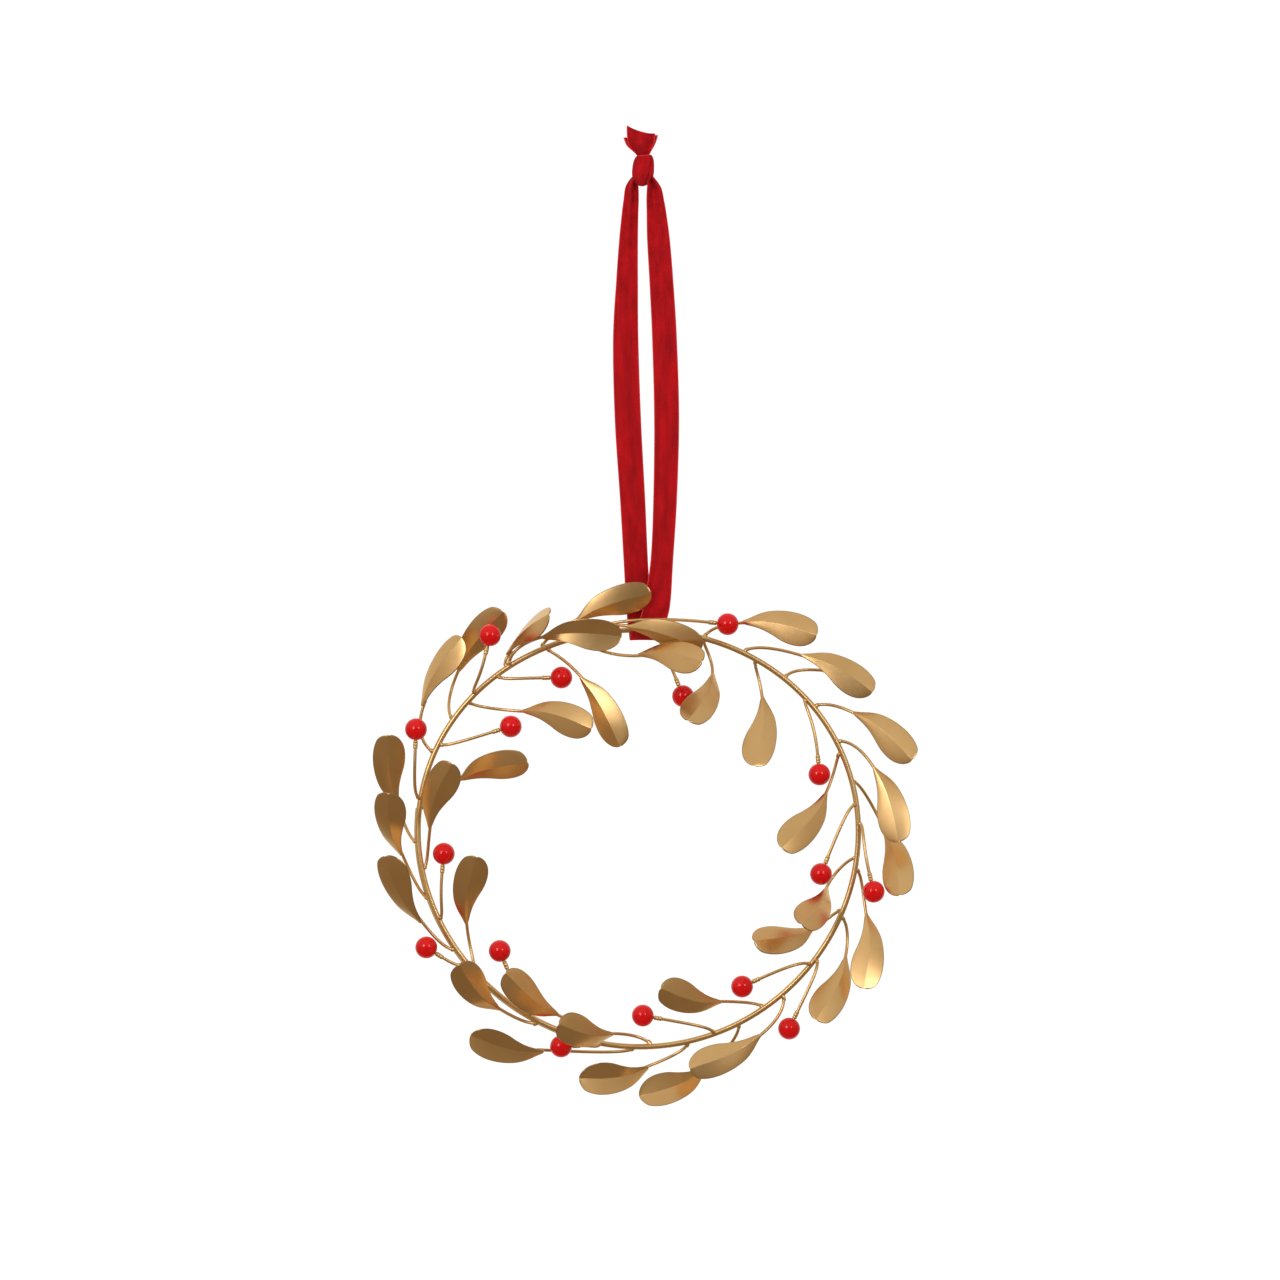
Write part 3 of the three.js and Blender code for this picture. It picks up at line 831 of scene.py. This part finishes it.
middle, width, out = ribbon_loop()
spare = np.clip(RIBBON_WIDTH - width, 0, None)
share = np.linspace(-0.5, 0.5, ACROSS_RIBBON + 1)
gather = np.clip((spare - PLEATS_START) / PLEATS_FILL, 0, 1)
wave = np.cos(2 * math.pi * PLEATS * share + PLEAT_TURN)[None, :] * (PLEAT_DEPTH * gather)[:, None]
rolled = EDGE_ROLL + EDGE_SWAY * np.sin(np.arange(len(width)) / SWAY_STEPS)
curl = (4 * share**2)[None, :] * rolled[:, None]
surface = np.zeros((len(width), len(share), 3))
surface[..., 0] = middle[:, None, 0] + share[None, :] * width[:, None]
surface[..., 1:] = middle[:, None, 1:] + out[:, None, 1:] * (wave - curl)[..., None]
selvedge = np.where(np.abs(share) > 0.49, 0.5, 1.0)  # half as thick at the very edge
skin = out[:, None, :] * RIBBON_THICKNESS / 2 * selvedge[None, :, None]


def strip_piece(name, surface, skin, finish, patches):
    """A closed strip of cloth from its middle surface and its half thickness."""
    rows, columns = surface.shape[:2]
    places = np.concatenate([(surface + skin).reshape(-1, 3), (surface - skin).reshape(-1, 3)]) * MM
    across = np.tile(np.linspace(0, 1, columns), (rows, 1))
    along = np.tile(np.linspace(0, patches, rows)[:, None], (1, columns))
    uv = np.tile(np.stack([across, along], axis=-1).reshape(-1, 2), (2, 1))
    edge = np.clip(1 - np.minimum(across, 1 - across) / EDGE_BAND, 0, 1)
    faces = sheet_faces(rows, columns)
    return mesh_piece(name, places, faces, finish, uv, np.tile(edge.ravel(), 2), sharp=60)


VELVET = velvet()
loop = strip_piece("ribbon_loop", surface, skin, VELVET, LOOP_PATCHES)
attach(loop, "root")
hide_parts("ribbon")


# ---- Knot and tails ----
# An overhand knot: the ribbon's turn pulled tight round both runs into an egg-shaped lump, and two short
# tails, cut on a slant, that stand up flared above it.

KNOT_MIDDLE = (0.0, 0.0, 7.6)
KNOT_HALF = (4.9, 4.3, 7.9)
KNOT_ROWS, KNOT_COLUMNS = 84, 96
# The wrap's upper edge stands up as a lip round the tails, this share of the way up, with a hollow inside it.
KNOT_LIP = 0.86
LIP_ROW = 70
LIP_EDGE_ROWS = 1.2
LIP_TILT, LIP_TILT_TURN = 0.5, 0.6
HOLLOW_DEPTH = 0.3
KNOT_LEAN = 0.5
KNOT_BOTTOM = 0.94
KNOT_FULLER = 0.08
GROOVE_TURN, GROOVE_SLANT, GROOVE_WIDTH, GROOVE_DEPTH = 5.45, 0.3, 0.11, 0.22
KNOT_FOLDS, KNOT_FOLD_DEPTH = 9, 0.045


def knot_profile(row):
    """Half width and height of the knot at a row, as shares of KNOT_HALF."""
    if row <= LIP_ROW:
        z = -math.cos(math.acos(-KNOT_LIP) * row / LIP_ROW)
        return math.sqrt(max(0.0, 1 - (z**4 if z > 0 else z**2))), z
    inward = (row - LIP_ROW) / (KNOT_ROWS - LIP_ROW)
    return math.sqrt(1 - KNOT_LIP**4) * (1 - inward), KNOT_LIP - HOLLOW_DEPTH * math.sin(math.pi / 2 * inward)


def knot_places():
    places = []
    for row in range(KNOT_ROWS + 1):
        across, z = knot_profile(row)
        for j in range(KNOT_COLUMNS):
            turn = 2 * math.pi * j / KNOT_COLUMNS
            fuller = 1 + KNOT_FULLER * (0.3 - z) * across
            # A groove down the right where the wrap lies over itself, and soft folds drawn to the bottom.
            overlap = math.exp(-((turn - GROOVE_TURN - GROOVE_SLANT * z) / GROOVE_WIDTH) ** 2)
            folds = KNOT_FOLD_DEPTH * math.cos(KNOT_FOLDS * turn + 2 * z) * max(0.0, -z) ** 1.5
            swell = fuller * (1 - GROOVE_DEPTH * overlap + folds)
            places.append((KNOT_MIDDLE[0] + KNOT_HALF[0] * across * math.cos(turn) * swell + KNOT_LEAN * z,
                           KNOT_MIDDLE[1] + KNOT_HALF[1] * across * math.sin(turn) * swell,
                           KNOT_MIDDLE[2] + KNOT_HALF[2] * z * (1 if z > 0 else KNOT_BOTTOM)
                           + LIP_TILT * max(0.0, z) * math.cos(turn - LIP_TILT_TURN) * across))
    return np.array(places)


knot_uv = np.array([(j / KNOT_COLUMNS * 3, row / KNOT_ROWS)
                    for row in range(KNOT_ROWS + 1) for j in range(KNOT_COLUMNS)])
knot_rim = np.repeat(np.exp(-np.square((np.arange(KNOT_ROWS + 1) - LIP_ROW) / LIP_EDGE_ROWS)), KNOT_COLUMNS)
knot_faces = ring_faces(KNOT_ROWS + 1, KNOT_COLUMNS)
knot = mesh_piece("ribbon_knot", knot_places() * MM, knot_faces, VELVET, knot_uv, knot_rim, sharp=80)

# Each tail: height, left edge, right edge, forward and depth of its fold, in millimetres.
FRONT_TAIL = [
    (11.5, -2.2, 2.2, 0.4, 0.7),
    (14.5, -3.0, 2.8, 0.7, 1.1),
    (17.6, -6.3, 4.1, 1.2, 2.0),
    (21.0, -7.3, 5.2, 1.5, 1.6),
    (25.4, -7.5, 5.6, 1.8, 0.9),
]
BACK_TAIL = [
    (11.5, -2.2, 2.2, -0.6, -0.6),
    (14.5, -3.0, 2.9, -0.9, -0.8),
    (18.5, -7.2, 5.2, -1.5, -1.2),
    (21.0, -8.4, 6.3, -1.8, -1.0),
    (22.8, -9.0, 6.8, -2.0, -0.7),
]
TAIL_FOLDS = 1.25
TAIL_STEPS = 8


def tail(name, rows, slant, swoop):
    """A flared tail with a slanted, slightly hollow cut across its top."""
    stations = through(rows, TAIL_STEPS)
    share = np.linspace(-0.5, 0.5, ACROSS_RIBBON + 1)
    surface = np.zeros((len(stations), len(share), 3))
    rise = np.linspace(0, 1, len(stations)) ** 2
    for i, (height, left, right, forward, fold) in enumerate(stations):
        surface[i, :, 0] = (left + right) / 2 + share * (right - left)
        surface[i, :, 1] = -forward - fold * np.cos(2 * math.pi * TAIL_FOLDS * share)
        cut = slant * -share + swoop * ((2 * share) ** 2 - 0.4)
        surface[i, :, 2] = height + rise[i] * cut
    skin = np.zeros_like(surface)
    skin[..., 1] = -RIBBON_THICKNESS / 2
    return strip_piece(name, surface, skin, VELVET, TAIL_PATCHES)


tails = [tail("ribbon_tail_front", FRONT_TAIL, slant=3.8, swoop=1.1),
         tail("ribbon_tail_back", BACK_TAIL, slant=-1.2, swoop=0.6)]
for piece in (knot, *tails):
    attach(piece, "root")


# ---- Floor, light and camera ----
# A plain pale floor well below, a white surround, one large soft light overhead and two soft lights in front.

AIM = Vector((-1.4, 0.0, -206.0)) * MM  # below the hook point
FLOOR_DROP = 0.25
FLOOR_HALF = 1.6
VIEW_DISTANCE = 3.0
VIEW_WIDTH = 0.5818

camera = bpy.data.objects.new("camera", bpy.data.cameras.new("camera"))
camera.data.sensor_width = 36.0
camera.data.lens = camera.data.sensor_width * VIEW_DISTANCE / VIEW_WIDTH
camera.location = (AIM.x, -VIEW_DISTANCE, AIM.z)
camera.rotation_euler = (math.radians(90), 0, 0)
scene.collection.objects.link(camera)
scene.camera = camera

floor_mesh = bpy.data.meshes.new("floor")
low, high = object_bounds()
floor_z = low.z - FLOOR_DROP
floor_corners = [(x * FLOOR_HALF, y * FLOOR_HALF, floor_z) for x, y in ((-1, -1), (1, -1), (1, 1), (-1, 1))]
floor_mesh.from_pydata(floor_corners, [], [(0, 1, 2, 3)])
floor_paint = bpy.data.materials.new("pale floor")
floor_paint.use_nodes = True
floor_paint.node_tree.nodes["Principled BSDF"].inputs["Base Color"].default_value = (0.75, 0.74, 0.72, 1)
floor_paint.node_tree.nodes["Principled BSDF"].inputs["Roughness"].default_value = 0.9
floor_mesh.materials.append(floor_paint)
floor = bpy.data.objects.new("floor", floor_mesh)
floor.visible_glossy = False
scene.collection.objects.link(floor)


def soft_light(name, bearing, elevation, distance, width, height, power, mirrored=True):
    """A soft panel at a bearing (0 in front, positive to the right), facing the wreath."""
    panel = bpy.data.lights.new(name, "AREA")
    panel.shape = "RECTANGLE"
    panel.size, panel.size_y = width, height
    panel.energy = power
    lamp = bpy.data.objects.new(name, panel)
    b, e = math.radians(bearing), math.radians(elevation)
    toward = Vector((math.sin(b) * math.cos(e), -math.cos(b) * math.cos(e), math.sin(e)))
    lamp.location = AIM + toward * distance
    lamp.rotation_euler = toward.to_track_quat("Z", "Y").to_euler()
    lamp.visible_glossy = mirrored
    scene.collection.objects.link(lamp)


soft_light("overhead panel", 0, 62, 1.6, 1.8, 1.2, 16, mirrored=False)
soft_light("left panel", -29, 14, 1.5, 0.5, 0.7, 5.2)
soft_light("right panel", 29, 14, 1.5, 0.35, 0.5, 2.8)

world = bpy.data.worlds.new("white studio")
scene.world = world
world.use_nodes = True
nodes, links = world.node_tree.nodes, world.node_tree.links
sky = nodes["Background"]
direction = nodes.new("ShaderNodeTexCoord")
split = nodes.new("ShaderNodeSeparateXYZ")
level = nodes.new("ShaderNodeMapRange")
level.inputs["From Min"].default_value = -1.0
walls = nodes.new("ShaderNodeValToRGB")
# Warm and dark below, pale overhead: share of the way from straight down to straight up, and colour.
WALL_TONES = [(0.0, (0.24, 0.175, 0.11)), (0.25, (0.27, 0.2, 0.13)), (0.5, (0.37, 0.3, 0.21)),
              (0.68, (0.6, 0.54, 0.44)), (1.0, (0.68, 0.63, 0.54))]
for share, tone in WALL_TONES[1:-1]:
    walls.color_ramp.elements.new(share)
for stop, (share, tone) in zip(walls.color_ramp.elements, WALL_TONES):
    stop.position = share
    stop.color = (*tone, 1.0)
# The left side is a little brighter than the right, and the end of the room that the wreath faces is dim.
# Behind the wreath is the pale backdrop.
backdrop = nodes.new("ShaderNodeMapRange")
backdrop.interpolation_type = "SMOOTHSTEP"
backdrop.inputs["From Min"].default_value = 0.2
backdrop.inputs["From Max"].default_value = 0.75
paler = nodes.new("ShaderNodeMix")
paler.data_type = "RGBA"
paler.inputs["B"].default_value = (0.95, 0.92, 0.87, 1.0)
across = nodes.new("ShaderNodeMapRange")
across.inputs["From Min"].default_value = -1.0
across.inputs["To Min"].default_value = 1.12
across.inputs["To Max"].default_value = 0.93
level_light = nodes.new("ShaderNodeMath")
level_light.operation = "MULTIPLY"
facing = nodes.new("ShaderNodeMapRange")
facing.interpolation_type = "SMOOTHSTEP"
facing.inputs["From Min"].default_value = -0.99
facing.inputs["From Max"].default_value = -0.90
facing.inputs["To Min"].default_value = 0.45
facing.inputs["To Max"].default_value = 1.0
dimmed = nodes.new("ShaderNodeVectorMath")
dimmed.operation = "SCALE"
white = nodes.new("ShaderNodeBackground")
white.inputs["Color"].default_value = (1.0, 1.0, 1.0, 1.0)
white.inputs["Strength"].default_value = 1.05
seen = nodes.new("ShaderNodeLightPath")
mixed = nodes.new("ShaderNodeMixShader")
join_sockets(
    world.node_tree,
    (direction.outputs["Generated"], split.inputs["Vector"]),
    (split.outputs["Z"], level.inputs["Value"]),
    (level.outputs["Result"], walls.inputs["Fac"]),
    (split.outputs["Y"], facing.inputs["Value"]),
    (walls.outputs["Color"], dimmed.inputs[0]),
    (split.outputs["X"], across.inputs["Value"]),
    (facing.outputs["Result"], level_light.inputs[0]),
    (across.outputs["Result"], level_light.inputs[1]),
    (level_light.outputs[0], dimmed.inputs["Scale"]),
    (dimmed.outputs["Vector"], paler.inputs["A"]),
    (split.outputs["Y"], backdrop.inputs["Value"]),
    (backdrop.outputs["Result"], paler.inputs["Factor"]),
    (paler.outputs["Result"], sky.inputs["Color"]),
    (seen.outputs["Is Camera Ray"], mixed.inputs[0]),
    (sky.outputs["Background"], mixed.inputs[1]),
    (white.outputs["Background"], mixed.inputs[2]),
    (mixed.outputs["Shader"], nodes["World Output"].inputs["Surface"]),
)
scene.view_settings.view_transform = "Standard"
